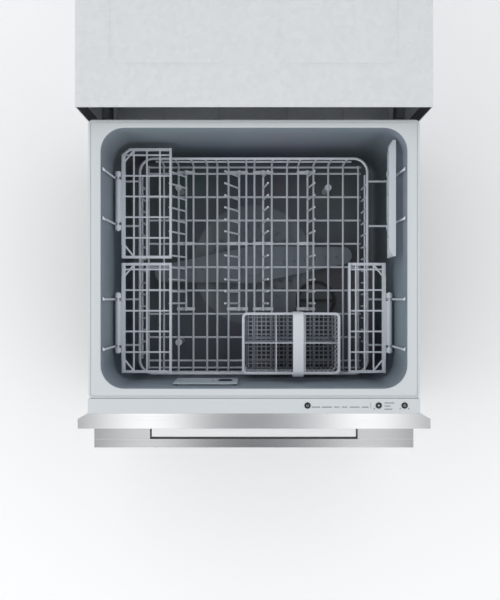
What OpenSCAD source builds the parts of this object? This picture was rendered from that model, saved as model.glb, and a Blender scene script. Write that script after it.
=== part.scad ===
// Built-in dishwasher drawer: a steel chassis that is fixed in a cabinet, and a wash tub that slides out
// of it on telescopic runners. Millimetres, +Z up, the front faces -Y. The origin is the centre of the
// chassis footprint, on the surface that it stands on. The drawer is drawn fully open.

/* [Chassis] */
// Width over the side sheets
chassis_w = 595; // [590:1:600]
// Depth from the front edge to the back sheet
chassis_d = 554; // [552:1:580]
// Height from the base to the top sheet
chassis_h = 410; // [408:1:430]
// Thickness of the chassis sheets
sheet_t = 1.5; // [1:0.1:2]
// Depth of the dark surround round the drawer opening
surround_d = 12; // [8:1:16]

/* [Drawer] */
// Travel from shut to fully open
travel = 520; // [515:1:522]
// Gap between the shut front and the chassis front
shut_gap = 2.5; // [2:0.5:4]
// Distance from the top of the chassis down to the tub rim
rim_drop = 32; // [31:1:38]
rim_z = chassis_h - rim_drop;
// Distance from the outside of a chassis side to the inside of the tub, at the rim
tub_in = 36.5; // [35:0.5:38]
tub_w = chassis_w - 2 * tub_in;
// Inside length of the tub at the rim, front to back
tub_l = 444; // [440:1:445]
// Radius of the tub's upright inside corners
tub_corner_r = 20; // [18:1:24]
// Height of the tub floor above the ground
tub_floor_z = 102; // [98:1:108]
// How much the tub narrows on each side towards its floor
tub_draft = 9; // [6:1:12]
// Wall thickness of the tub
tub_wall = 3.5; // [3:0.1:4]
// Width of the flange at the left and right of the tub mouth
flange_side = 21.5; // [20:0.5:24]
// Width of the flange at the front of the tub mouth
flange_front = 17; // [15:0.5:20]
// Width of the flange at the back of the tub mouth
flange_back = 14; // [12:0.5:15]

/* [Front] */
// Width of the stainless front panel
panel_w = 599; // [596:1:599]
// Height of the stainless front panel
panel_h = 377; // [374:1:380]
// Height of the panel's lower edge above the floor
panel_low_z = 5; // [4:0.5:8]
// Depth of the panel's square edge
panel_edge_d = 16.5; // [14:0.5:20]
// Depth of the slanted return behind the square edge
panel_return_d = 9; // [7:0.5:11]
// Depth of the control strip behind the panel
strip_d = 25; // [22:0.5:28]
// Width of the handle
handle_w = 561; // [540:1:580]
// How far the handle stands out from the panel
handle_out = 41; // [38:1:46]
// Distance from the top of the panel down to the top of the handle
handle_drop = 49; // [44:1:60]
// Height of the handle's front bar
handle_bar_h = 24; // [18:1:30]
// Thickness of the handle's front bar
handle_bar_t = 15; // [12:0.5:17]
// Width of the finger slot
slot_w = 365; // [340:1:400]
// Diameter of the push buttons
button_d = 10; // [8:0.5:12]

/* [Racks] */
// Thickness of the base rack's perimeter wires
frame_wire = 5; // [4:0.5:6]
// Thickness of the base rack's inner wires
rack_wire = 4; // [3:0.5:4.5]
// Height of the rack floor above the tub floor
rack_lift_h = 66; // [60:1:76]
// Spacing of the rack floor's cross wires
cross_pitch = 46; // [40:1:50]
// Length of a cup rack, front to back
cup_rack_l = 202; // [190:1:202]
// Reach of a left cup rack from its hinge to its free edge
cup_rack_w = 98; // [90:1:99]
// Height of the cup rack hinges above the tub floor
cup_rack_z = 173; // [166:1:174]
// Spacing of a cup rack's cross bars
cup_bar_pitch = 38; // [34:1:42]
// Length of the cutlery basket
basket_w = 176; // [160:1:180]
// Depth of the cutlery basket, front to back
basket_d = 110; // [96:1:112]
// Height of the cutlery basket
basket_h = 120; // [100:1:130]
// Wall thickness of the cutlery basket
basket_t = 2.6; // [2:0.1:3]

/* [Running gear] */
// Length of a shut runner
runner_l = 500; // [480:1:505]
// Height of a runner's channel
runner_h = 46; // [40:1:50]
// Length of the spray arm, tip to tip
spray_l = 396; // [380:1:402]
// How far the lid drops onto the rim
lid_drop = 12; // [10:0.5:12]

/* [Hidden] */

// Fineness of round parts, and of the round corners of moulded shells
$fn = 48;
corner_fn = 40;
// Gap between pieces that slide past each other, and radial play of a pin in its hole
slide_gap = 0.6;
pin_play = 0.08;

// Chassis
inner_hw = chassis_w / 2 - sheet_t;
chassis_front = -chassis_d / 2;
chassis_rear = chassis_d / 2;
surround_bar = 9.5;
surround_foot = 11;

// Drawer, measured as depth behind the face of its front panel
panel_d = panel_edge_d + panel_return_d;
open_y = chassis_front - shut_gap - panel_edge_d - travel;
strip_back = panel_d + strip_d;
mouth_front = strip_back + flange_front;
mouth_back = mouth_front + tub_l;
mouth_mid = (mouth_front + mouth_back) / 2;
rim_back = mouth_back + flange_back;
rim_w = tub_w + 2 * flange_side;
panel_top = panel_low_z + panel_h;
strip_z = rim_z + 2;

// How far the tub wall stands in from its mouth at a height
function wall_in(z) = tub_draft * (rim_z - z) / (rim_z - tub_floor_z);

steel = [0.80, 0.81, 0.82];
zinc = [0.72, 0.73, 0.74];
dark = [0.13, 0.13, 0.14];
pale_grey = [0.79, 0.83, 0.85];
wire_grey = [0.66, 0.68, 0.72];

module in_drawer() {
    translate([0, open_y, 0]) children();
}

// A straight round wire between two points
module wire(a, b, d) {
    run = b - a;
    length = norm(run);
    translate(a)
        rotate([0, acos(run[2] / length), atan2(run[1], run[0])])
            cylinder(h = length, d = d);
}

// A quarter bend of wire in the XY plane, from angle a to angle a + 90
module bend(r, d, a) {
    rotate([0, 0, a])
        rotate_extrude(angle = 90)
            translate([r, 0]) circle(d = d);
}

module round_rect(w, l, r) {
    offset(r = r, $fn = corner_fn)
        square([w - 2 * r, l - 2 * r], center = true);
}

// ---- Chassis -------------------------------------------------------------------------------

// Folded steel tray that the appliance stands on, with pressed ribs along it
tray_lip_h = 18;
tray_rib_w = 26;
tray_rib_h = 4;
tray_rib_x = [-210, -90, 90, 210];
module chassis_base() {
    color(zinc)
        difference() {
            union() {
                translate([-inner_hw, chassis_front, 0])
                    cube([2 * inner_hw, chassis_d, sheet_t]);
                for (side = [-1, 1])
                    translate([side * (inner_hw - sheet_t / 2) - sheet_t / 2,
                               chassis_front + surround_d + 1, 0])
                        cube([sheet_t, chassis_d - surround_d - 1 - sheet_t, tray_lip_h]);
                for (x = tray_rib_x)
                    translate([x - tray_rib_w / 2, chassis_front + 40, 0])
                        cube([tray_rib_w, chassis_d - 80, sheet_t + tray_rib_h]);
            }
            // the ribs are pressed up from the sheet, so they are hollow below
            for (x = tray_rib_x)
                translate([x - tray_rib_w / 2 + sheet_t, chassis_front + 40 + sheet_t, -1])
                    cube([tray_rib_w - 2 * sheet_t, chassis_d - 80 - 2 * sheet_t, tray_rib_h + 1]);
        }
}

// Side sheet with two pressed panels and a pair of holes for the screws into the cabinet
screw_hole_d = 5.5;
screw_inset = 22;
screw_low_z = 60;
screw_span = 290;
swage_d = 1;
swage_inset = 60;
module chassis_side(side) {
    low_swage = [30, runner_z - runner_h / 2 - 15];
    high_swage = [215, chassis_h - 50];
    color(zinc)
        difference() {
            union() {
                translate([side > 0 ? inner_hw : -chassis_w / 2, chassis_front, 0])
                    cube([sheet_t, chassis_d, chassis_h]);
                for (swage = [low_swage, high_swage])
                    translate([side * (inner_hw - swage_d / 2) - swage_d / 2,
                               chassis_front + swage_inset, swage[0]])
                        cube([swage_d, chassis_d - 2 * swage_inset, swage[1] - swage[0]]);
            }
            for (swage = [low_swage, high_swage])
                translate([side * (chassis_w / 2 - swage_d / 2) - swage_d / 2 - 0.01,
                           chassis_front + swage_inset + sheet_t, swage[0] + sheet_t])
                    cube([swage_d + 0.02, chassis_d - 2 * (swage_inset + sheet_t),
                          swage[1] - swage[0] - 2 * sheet_t]);
            for (z = [screw_low_z, screw_low_z + screw_span])
                translate([side * (inner_hw - 5), chassis_front + screw_inset, z])
                    rotate([0, side * 90, 0])
                        cylinder(h = 10, d = screw_hole_d);
        }
}

// Top sheet, with a long shallow pressing at each side to stiffen it
top_press_w = 200;
top_press_l = 440;
module chassis_top() {
    color(zinc)
        difference() {
            translate([-inner_hw, chassis_front, chassis_h - sheet_t])
                cube([2 * inner_hw, chassis_d - sheet_t, sheet_t]);
            for (side = [-1, 1])
                translate([side * 140, 10, chassis_h - sheet_t / 3])
                    linear_extrude(sheet_t)
                        difference() {
                            round_rect(top_press_w, top_press_l, 20);
                            round_rect(top_press_w - 12, top_press_l - 12, 14);
                        }
        }
}

// Back sheet, with the holes for the water inlet, the drain and the power cord, and slots for air
inlet_at = [-190, 60];
drain_at = [-120, 60];
gland_at = [200, 60];
inlet_hole_d = 30;
drain_hole_d = 26;
gland_hole_d = 20;
module chassis_back() {
    color(zinc)
        translate([0, chassis_rear, 0])
            rotate([90, 0, 0])
                linear_extrude(sheet_t)
                    difference() {
                        translate([-inner_hw, sheet_t])
                            square([2 * inner_hw, chassis_h - sheet_t]);
                        translate(inlet_at) circle(d = inlet_hole_d);
                        translate(drain_at) circle(d = drain_hole_d);
                        translate(gland_at) circle(d = gland_hole_d);
                        for (row = [0:3], column = [-3:3])
                            translate([column * 60 - 20, chassis_h - 180 + row * 22]) square([40, 6]);
                    }
}

// Dark moulded surround of the drawer opening. Its mouth flares to take the panel's slanted return,
// and it is notched where the runners pass.
notch_gap = 4;
module front_surround() {
    mouth_w = 2 * (inner_hw - surround_bar);
    mouth_low = sheet_t + surround_foot;
    mouth_top = chassis_h - sheet_t - 12;
    color(dark)
        difference() {
            translate([-inner_hw, chassis_front, sheet_t])
                cube([2 * inner_hw, surround_d, chassis_h - 2 * sheet_t]);
            hull() {
                translate([-inner_hw + 0.8, chassis_front - 1, sheet_t + 0.8])
                    cube([2 * inner_hw - 1.6, 1, chassis_h - 2 * sheet_t - 1.6]);
                translate([-mouth_w / 2, chassis_front + surround_d - 1, mouth_low])
                    cube([mouth_w, 1.01, mouth_top - mouth_low]);
            }
            for (side = [-1, 1])
                translate([side * (inner_hw - surround_bar / 2) - surround_bar / 2
                           - (side > 0 ? 1 : -1) * 1,
                           chassis_front - 1, runner_z - runner_h / 2 - notch_gap])
                    cube([surround_bar, surround_d + 2, runner_h + 2 * notch_gap]);
        }
}

// ---- Runners -------------------------------------------------------------------------------

// Three rolled channels nest in each other: the outer is fixed to the side sheet, the inner to the tub
runner_z = 150;
runner_t = 1.5;
runner_back = 17;
outer_depth = 14;
middle_h = runner_h - 8;
inner_h = runner_h - 18;
middle_web = inner_hw - runner_t - slide_gap;
inner_open = middle_web - runner_t - slide_gap;
inner_web = inner_open - 13;
module channel(side, web_x, depth, h, y) {
    toward = web_x < inner_web + 3 ? 1 : -1;
    translate([side * web_x, y, runner_z])
        scale([side, 1, 1])
            rotate([-90, 0, 0])
                linear_extrude(runner_l)
                    difference() {
                        translate([toward > 0 ? 0 : -depth, -h / 2]) square([depth, h]);
                        translate([toward > 0 ? runner_t : -depth - 1, -h / 2 + runner_t])
                            square([depth - runner_t + 1, h - 2 * runner_t]);
                    }
}
module outer_runner(side) {
    color(steel)
        channel(side, inner_hw, outer_depth, runner_h, chassis_rear - runner_back - runner_l);
}
module middle_runner(side) {
    color(steel)
        channel(side, middle_web, outer_depth - 1, middle_h,
                chassis_rear - runner_back - runner_l - travel / 2);
}
// The inner runner carries three brackets that are screwed to the tub's wall
bracket_v = [110, 290, 470];
bracket_h = 24;
module inner_runner(side) {
    wall_x = tub_w / 2 + tub_wall - wall_in(runner_z + bracket_h / 2);
    color(steel) {
        channel(side, inner_web, inner_open - inner_web, inner_h,
                chassis_rear - runner_back - runner_l - travel);
        for (v = bracket_v)
            translate([side > 0 ? wall_x : -inner_web - 0.5, open_y + v - 18,
                       runner_z - bracket_h / 2])
                cube([inner_web - wall_x + 0.5, 36, bracket_h]);
    }
}

// ---- Lid and what moves it -----------------------------------------------------------------

seal_h = 4;
lid_t = 10;
seal_z = rim_z + 0.3 + lid_drop;
lid_z = seal_z + seal_h;
lid_w = tub_w + 26;
lid_l = tub_l + 22;
shut_mid_y = open_y + travel + mouth_mid;
rocker_y = shut_mid_y + 60;
rocker_arm = 40;
rocker_pin_d = 6;
rocker_t = 4;
rocker_x = lid_w / 2 + 6;
pin_z = lid_z + 4;
module tub_lid() {
    color(pale_grey)
        translate([0, shut_mid_y, lid_z])
            difference() {
                union() {
                    linear_extrude(3) round_rect(lid_w, lid_l, tub_corner_r);
                    linear_extrude(lid_t)
                        difference() {
                            round_rect(lid_w, lid_l, tub_corner_r);
                            round_rect(lid_w - 6, lid_l - 6, tub_corner_r - 3);
                        }
                    for (x = [-2:2])
                        translate([x * 95 - 1.5, -lid_l / 2 + 3, 0]) cube([3, lid_l - 6, 7]);
                    for (side = [-1, 1])
                        translate([side * (lid_w / 2 + 1) - 2, rocker_y - shut_mid_y - 14, 0])
                            cube([4, 28, lid_t]);
                }
                for (side = [-1, 1])
                    translate([side * (lid_w / 2 + 1) - 6, rocker_y - shut_mid_y, pin_z - lid_z])
                        for (dy = [0, 2.4])
                            translate([0, dy, 0]) rotate([0, 90, 0])
                                cylinder(h = 12, d = rocker_pin_d + 0.8);
            }
}
module lid_seal() {
    color(dark)
        translate([0, shut_mid_y, seal_z])
            linear_extrude(seal_h)
                difference() {
                    round_rect(tub_w + 20, tub_l + 18, tub_corner_r + 4);
                    round_rect(tub_w + 8, tub_l + 6, tub_corner_r - 2);
                }
}
// The rocker turns on a shaft in the actuator; the pin at its end lifts the lid in a slot
shaft_d = 8;
module lid_rocker(side) {
    color(steel)
        translate([0, rocker_y, pin_z]) {
            difference() {
                rocker_blade(side);
                translate([side * (rocker_x - 5), rocker_arm, 0]) rotate([0, side * 90, 0])
                    cylinder(h = 14, d = shaft_d + 2 * pin_play);
            }
            translate([side * (lid_w / 2 - 2), 0, 0]) rotate([0, side * 90, 0])
                cylinder(h = rocker_x - lid_w / 2 + 3, d = rocker_pin_d);
        }
}
module rocker_blade(side) {
    translate([side * rocker_x, 0, 0])
        rotate([90, 0, side * 90])
            linear_extrude(rocker_t) {
                circle(d = 10);
                translate([side * rocker_arm, 0]) circle(d = 14);
                translate([side > 0 ? 0 : -rocker_arm, -5]) square([rocker_arm, 10]);
            }
}
module lid_actuator(side) {
    box_x = rocker_x + rocker_t + 1;
    color(dark)
        translate([0, rocker_y + rocker_arm, pin_z]) {
            translate([side > 0 ? box_x : -inner_hw, -22, -16])
                cube([inner_hw - box_x, 60, 24]);
            translate([side * (rocker_x - 2), 0, 0]) rotate([0, side * 90, 0])
                cylinder(h = box_x - rocker_x + 4, d = shaft_d);
        }
}

// ---- Services at the back ------------------------------------------------------------------

inlet_thread_d = 26.4;
inlet_out = 14;
drain_tube_d = 19;
drain_out = 24;
module inlet_valve() {
    color(pale_grey)
        translate([inlet_at[0], chassis_rear, inlet_at[1]]) rotate([90, 0, 0])
            difference() {
                union() {
                    translate([0, 0, -inlet_out]) cylinder(h = inlet_out, d = inlet_thread_d);
                    cylinder(h = sheet_t, d = inlet_hole_d - 0.4);
                    translate([0, 0, sheet_t]) cylinder(h = 4, d = inlet_hole_d + 8);
                    translate([-14, -18, sheet_t + 4]) cube([28, 36, 24]);
                }
                translate([0, 0, -inlet_out - 1]) cylinder(h = inlet_out + 6, d = 18);
            }
}
module drain_spigot() {
    color(dark)
        translate([drain_at[0], chassis_rear, drain_at[1]]) rotate([90, 0, 0])
            difference() {
                union() {
                    translate([0, 0, -drain_out]) cylinder(h = drain_out, d = drain_tube_d);
                    cylinder(h = 34, d = drain_tube_d + 2);
                    translate([0, 0, sheet_t]) cylinder(h = 3, d = drain_hole_d + 8);
                }
                translate([0, 0, -drain_out - 1]) cylinder(h = drain_out + 36, d = drain_tube_d - 4);
            }
}
module power_gland() {
    color(dark)
        translate([gland_at[0], chassis_rear, gland_at[1]]) rotate([90, 0, 0])
            difference() {
                union() {
                    translate([0, 0, -5]) cylinder(h = 5, d = gland_hole_d + 6);
                    cylinder(h = sheet_t, d = gland_hole_d - 0.4);
                    translate([0, 0, sheet_t]) cylinder(h = 5, d = gland_hole_d + 6);
                }
                translate([0, 0, -6]) cylinder(h = 14, d = 9);
            }
}

// ---- Tub -----------------------------------------------------------------------------------

rim_t = 4;
skirt_h = 12;
groove_w = 1.4;
groove_in = 3.4;
floor_round = 5;
sump_d = 230;
sump_deep = 8;
hub_hole_d = 40;
filter_at = [128, -72];
filter_hole_d = 76;
dispenser_w = 112;
dispenser_h = 86;
dispenser_x = -85;
dispenser_z = 258;

module tub_slab(z, inset) {
    translate([0, mouth_mid, z])
        linear_extrude(0.01)
            round_rect(tub_w - 2 * inset, tub_l - 2 * inset, tub_corner_r - min(inset, 20) / 2);
}
// The inside of the tub, grown by a wall thickness for its outside
module tub_form(grow, top) {
    hull() {
        tub_slab(top, -grow);
        tub_slab(tub_floor_z + floor_round, tub_draft - grow);
        tub_slab(tub_floor_z + 0.3 * floor_round - grow, tub_draft + 0.35 * floor_round - grow);
        tub_slab(tub_floor_z - grow, tub_draft + floor_round - grow);
    }
}
frame_boss_x = [-200, 200];
frame_boss_z = [130, 300];
frame_boss_w = 32;
frame_boss_h = 28;
module tub() {
    color(pale_grey)
        difference() {
            union() {
                tub_form(tub_wall, rim_z - rim_t);
                translate([-rim_w / 2, strip_back, rim_z - rim_t])
                    cube([rim_w, rim_back - strip_back, rim_t]);
                // skirt round the flange
                translate([0, (strip_back + rim_back) / 2, rim_z - skirt_h])
                    linear_extrude(skirt_h - rim_t)
                        difference() {
                            square([rim_w, rim_back - strip_back], center = true);
                            square([rim_w - 2 * 2.5, rim_back - strip_back - 2 * 2.5], center = true);
                        }
                translate([0, mouth_mid, tub_floor_z - tub_wall - sump_deep])
                    cylinder(h = sump_deep + 3, d = sump_d + 2 * tub_wall);
                translate([filter_at[0], mouth_mid + filter_at[1], tub_floor_z - 42])
                    cylinder(h = 41, d = filter_hole_d + 2 * tub_wall);
            }
            tub_form(0, rim_z + 1);
            translate([0, mouth_mid, tub_floor_z - sump_deep]) cylinder(h = sump_deep + 6, d = sump_d);
            translate([0, mouth_mid, tub_floor_z - 40]) cylinder(h = 60, d = hub_hole_d);
            translate([filter_at[0], mouth_mid + filter_at[1], tub_floor_z - 38])
                cylinder(h = 50, d = filter_hole_d);
            // groove along the flange, the line that the lid seal closes inside
            translate([0, (strip_back + rim_back) / 2, rim_z - 0.8])
                linear_extrude(2)
                    difference() {
                        square([rim_w - 2 * groove_in, rim_back - strip_back + 20], center = true);
                        square([rim_w - 2 * (groove_in + groove_w), rim_back - strip_back + 22],
                               center = true);
                    }
            translate([dispenser_x - dispenser_w / 2 + 6, mouth_front - 9, dispenser_z + 6])
                cube([dispenser_w - 12, 24, dispenser_h - 12]);
        }
}

// ---- Drawer front --------------------------------------------------------------------------

skin = 1.2;
frame_back = strip_back - 0.5;
frame_low_z = 20;
strip_low_z = 346;
frame_top_z = strip_low_z;
frame_hw = rim_w / 2 - 5;
return_in = (panel_w - rim_w) / 2;
return_drop = panel_top - strip_z;
return_low = 11;
// The panel's form: square edges in front, slanted returns behind
module panel_form(inset, extra) {
    translate([-panel_w / 2 + inset, inset, panel_low_z + inset])
        cube([panel_w - 2 * inset, panel_edge_d - inset, panel_h - 2 * inset]);
    hull() {
        translate([-panel_w / 2 + inset, panel_edge_d - 0.01, panel_low_z + inset])
            cube([panel_w - 2 * inset, 0.01, panel_h - 2 * inset]);
        translate([-rim_w / 2 + inset, panel_d - 0.01 + extra, panel_low_z + return_low + inset])
            cube([rim_w - 2 * inset, 0.01, panel_h - return_low - return_drop - 2 * inset]);
    }
}
module front_panel() {
    color(steel)
        difference() {
            panel_form(0, 0);
            panel_form(skin, 0.02);
            for (side = [-1, 1], x = handle_screw_x)
                translate([side * x, -1, handle_z - handle_bar_h / 2]) rotate([-90, 0, 0])
                    cylinder(h = 4, d = screw_d + 0.5);
        }
}

handle_z = panel_top - handle_drop;
screw_d = 4;
handle_screw_x = [210, 260];
// Folded and mitred steel: a front bar that runs the full width, and a solid return at each end
module handle() {
    inner_v = -handle_out + handle_bar_t;
    color(steel)
        difference() {
            translate([-handle_w / 2, -handle_out, handle_z - handle_bar_h])
                cube([handle_w, handle_out, handle_bar_h]);
            translate([-slot_w / 2, inner_v, handle_z - handle_bar_h - 1])
                cube([slot_w, -inner_v + 1, handle_bar_h + 2]);
            // the joint line between the bar and the returns
            for (side = [-1, 1])
                translate([side > 0 ? slot_w / 2 : -handle_w / 2 - 1, inner_v - 0.3, handle_z - 0.6])
                    cube([(handle_w - slot_w) / 2 + 1, 0.6, 1]);
            // the bar is open underneath, as folded sheet is
            translate([-handle_w / 2 + 2, -handle_out + 2, handle_z - handle_bar_h - 1])
                cube([handle_w - 4, handle_bar_t - 4, handle_bar_h - 1]);
            for (side = [-1, 1], x = handle_screw_x)
                translate([side * x, inner_v + 8, handle_z - handle_bar_h / 2]) rotate([-90, 0, 0])
                    cylinder(h = -inner_v, d = screw_d);
        }
}
module handle_screws() {
    color(zinc)
        for (side = [-1, 1], x = handle_screw_x)
            translate([side * x, 0, handle_z - handle_bar_h / 2]) rotate([-90, 0, 0]) {
                translate([0, 0, -handle_out + handle_bar_t + 8])
                    cylinder(h = handle_out - handle_bar_t - 8 + skin, d = screw_d);
                translate([0, 0, skin]) cylinder(h = 2.6, d = 8);
            }
}

// Moulded frame behind the panel, with a lattice of ribs
frame_t = 3;
rail_z = [50, 150, 250, 290];
rail_w = 500;
module front_frame() {
    color(dark)
        translate([0, panel_d, 0]) {
            for (side = [-1, 1])
                translate([side > 0 ? frame_hw - frame_t : -frame_hw, 0, frame_low_z])
                    cube([frame_t, frame_back - panel_d, frame_top_z - frame_low_z]);
            translate([-frame_hw, 0, frame_low_z])
                cube([2 * frame_hw, frame_t, frame_top_z - frame_low_z]);
            for (z = [frame_low_z, 116, 212, frame_top_z - frame_t])
                translate([-frame_hw, 0, z]) cube([2 * frame_hw, frame_back - panel_d, frame_t]);
            for (x = [-184, -92, 0, 92, 184])
                translate([x - frame_t / 2, 0, frame_low_z])
                    cube([frame_t, frame_back - panel_d, frame_top_z - frame_low_z]);
            for (x = frame_boss_x, z = frame_boss_z)
                translate([x - frame_boss_w / 2, 0, z - frame_boss_h / 2])
                    cube([frame_boss_w,
                          mouth_front - tub_wall + wall_in(z + frame_boss_h / 2) - panel_d,
                          frame_boss_h]);
            // rails that the panel's sheet is bonded to
            for (z = rail_z)
                translate([-rail_w / 2, skin - panel_d, z]) cube([rail_w, panel_d - skin + 1, frame_t]);
        }
}

// Control strip: a moulded cap with three round holes for the buttons
button_x = [91, 212, 256];
button_v = strip_back - 11.5;
strip_t = 2.5;
module control_strip() {
    color(pale_grey)
        difference() {
            translate([-rim_w / 2, panel_d, strip_low_z]) cube([rim_w, strip_d, strip_z - strip_low_z]);
            translate([-rim_w / 2 + strip_t, panel_d + strip_t, strip_low_z - 1])
                cube([rim_w - 2 * strip_t, strip_d - 2 * strip_t, strip_z - strip_low_z + 1 - strip_t]);
            for (x = button_x)
                translate([x, button_v, strip_z - 5]) cylinder(h = 10, d = button_d + 0.7);
        }
}
module control_module() {
    color(dark)
        difference() {
            translate([40, panel_d + strip_t + 0.5, strip_low_z + 2])
                cube([228, strip_d - 2 * strip_t - 1, 20]);
            for (x = button_x)
                translate([x, button_v, strip_low_z + 16]) cylinder(h = 10, d = button_d - 2);
        }
}
// A push button: a round cap above the strip, a collar under it and a short stem
button_up = 0.8;
module push_button(x) {
    color(dark)
        translate([x, button_v, 0]) {
            translate([0, 0, strip_z - 7]) cylinder(h = 7 + button_up, d = button_d);
            translate([0, 0, strip_z - 7]) cylinder(h = 1.5, d = button_d + 4);
            translate([0, 0, strip_low_z + 18]) cylinder(h = strip_z - strip_low_z - 25, d = button_d - 3);
        }
}

// ---- Detergent dispenser -------------------------------------------------------------------

dispenser_proud = 6.2;
cup_w = 58;
cup_h = 46;
door_t = 3;
door_pin_d = 2.4;
door_sunk = 0.2;
door_x = dispenser_x - 18;
door_z = dispenser_z + 14;
cap_d = 26;
cap_x = dispenser_x + 34;
cap_z = dispenser_z + 43;
dispenser_face = mouth_front + dispenser_proud;
door_pin_v = dispenser_face - door_t / 2 - door_sunk;
// The door and the cap lie sunk in the face, so that the rack lifts out past them
module dispenser_housing() {
    color(pale_grey)
        difference() {
            union() {
                translate([dispenser_x - dispenser_w / 2, mouth_front + 4.2, dispenser_z])
                    cube([dispenser_w, dispenser_proud - 4.2, dispenser_h]);
                translate([dispenser_x - dispenser_w / 2 + 7, mouth_front - 16, dispenser_z + 7])
                    cube([dispenser_w - 14, 21, dispenser_h - 14]);
            }
            translate([door_x - cup_w / 2 + 3, mouth_front - 13, door_z + 6])
                cube([cup_w - 6, 40, cup_h - 8]);
            translate([door_x - cup_w / 2 - 0.5, dispenser_face - door_t - 1.6, door_z - 4.5])
                cube([cup_w + 1, 20, cup_h + 9]);
            translate([door_x - cup_w / 2 - 4, door_pin_v, door_z]) rotate([0, 90, 0])
                cylinder(h = cup_w + 8, d = door_pin_d + 2 * pin_play);
            translate([cap_x, mouth_front - 12, cap_z]) rotate([-90, 0, 0])
                cylinder(h = 40, d = cap_d - 5);
            translate([cap_x, dispenser_face - 1.6, cap_z]) rotate([-90, 0, 0])
                cylinder(h = 4, d = cap_d + 1.6);
        }
}
module detergent_door() {
    color(pale_grey) {
        translate([door_x - cup_w / 2 + 0.5, dispenser_face - door_t - door_sunk, door_z - 1.5])
            cube([cup_w - 1, door_t, cup_h + 4.5]);
        translate([door_x - cup_w / 2 - 3, door_pin_v, door_z]) rotate([0, 90, 0])
            cylinder(h = cup_w + 6, d = door_pin_d);
    }
}
module rinse_aid_cap() {
    color(dark)
        translate([cap_x, 0, cap_z]) rotate([-90, 0, 0]) {
            translate([0, 0, dispenser_face - 1.4]) cylinder(h = 2.6, d = cap_d);
            translate([0, 0, mouth_front - 6]) cylinder(h = dispenser_face - mouth_front + 5, d = cap_d - 6);
            translate([-cap_d / 2 + 3, -1.5, dispenser_face]) cube([cap_d - 6, 3, 2.6]);
        }
}

// ---- Wash system ---------------------------------------------------------------------------

spray_z = tub_floor_z + 24;
bearing_d = 22;
plate_z = tub_floor_z;
module filter_plate() {
    color(steel)
        translate([0, mouth_mid, plate_z + 0.2])
            linear_extrude(1.2)
                difference() {
                    circle(d = sump_d + 16);
                    circle(d = bearing_d + 20);
                    for (ring = [0:3], spoke = [0:23])
                        rotate(spoke * 15 + ring * 7.5)
                            translate([30 + ring * 17, 0]) square([11, 3], center = true);
                    translate(filter_at) circle(d = filter_hole_d + 8);
                }
}
// Lift-out filter: a flange with a finger bar over a cylinder of fine slots
module drain_filter() {
    color(dark)
        translate([filter_at[0], mouth_mid + filter_at[1], tub_floor_z]) {
            difference() {
                translate([0, 0, -34]) cylinder(h = 34, d = filter_hole_d - 4);
                translate([0, 0, -31]) cylinder(h = 40, d = filter_hole_d - 9);
                for (turn = [0:20:160])
                    rotate([0, 0, turn]) translate([-50, -1.5, -28]) cube([100, 3, 20]);
            }
            difference() {
                translate([0, 0, 0.4]) cylinder(h = 3, d = filter_hole_d + 4);
                translate([0, 0, -1]) cylinder(h = 10, d = filter_hole_d - 9);
            }
            translate([-filter_hole_d / 2 + 4, -3, 0.4]) cube([filter_hole_d - 8, 6, 8]);
        }
}
module spray_bearing() {
    color(dark)
        translate([0, mouth_mid, 0])
            difference() {
                union() {
                    translate([0, 0, tub_floor_z - sump_deep]) cylinder(h = sump_deep + 13, d = hub_hole_d - 1);
                    translate([0, 0, tub_floor_z]) cylinder(h = spray_z - tub_floor_z + 8, d = bearing_d);
                }
                translate([0, 0, tub_floor_z - 20]) cylinder(h = 60, d = 10);
            }
}
// Blade with two curved arms that taper to their tips, turned by its jets
spray_root = 74;
spray_tip = 34;
spray_t = 9;
module spray_arm() {
    color([0.62, 0.66, 0.70])
        translate([0, mouth_mid, spray_z])
            difference() {
                union() {
                    for (turn = [0, 180])
                        rotate([0, 0, turn])
                            linear_extrude(spray_t)
                                difference() {
                                    hull() {
                                        circle(d = spray_root);
                                        translate([spray_l / 2 - spray_tip / 2, 18]) circle(d = spray_tip);
                                    }
                                    for (jet = [1:6])
                                        translate([40 + jet * 21, 3 + jet * 2]) circle(d = 3, $fn = 8);
                                }
                    cylinder(h = spray_t + 6, d = 46);
                }
                translate([0, 0, -1]) cylinder(h = spray_t + 3, d = bearing_d + 2 * pin_play);
            }
}
module heater_plate() {
    color(zinc)
        translate([0, mouth_mid, tub_floor_z - tub_wall - sump_deep - 5])
            difference() {
                cylinder(h = 5, d = sump_d - 20);
                translate([0, 0, -1]) cylinder(h = 7, d = 132);
                translate([filter_at[0], filter_at[1], -1]) cylinder(h = 7, d = filter_hole_d + 12);
            }
}
module wash_motor() {
    color(dark)
        translate([0, mouth_mid, 0]) {
            translate([0, 0, 34]) cylinder(h = tub_floor_z - tub_wall - sump_deep - 34, d = 126);
            translate([0, 0, 26]) cylinder(h = 8, d = 100);
            for (turn = [0:45:315])
                rotate([0, 0, turn]) translate([61, -1.5, 38]) cube([5, 3, 40]);
        }
}
module drain_pump() {
    color(dark)
        translate([filter_at[0], mouth_mid + filter_at[1], 0]) {
            translate([0, 0, 24]) cylinder(h = tub_floor_z - 42 - 24, d = 60);
            translate([0, 60, 42]) rotate([90, 0, 0]) cylinder(h = 60, d = 18);
            translate([26, 0, 40]) rotate([0, 90, 0]) cylinder(h = 26, d = 36);
        }
}

// ---- Base rack -----------------------------------------------------------------------------

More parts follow.
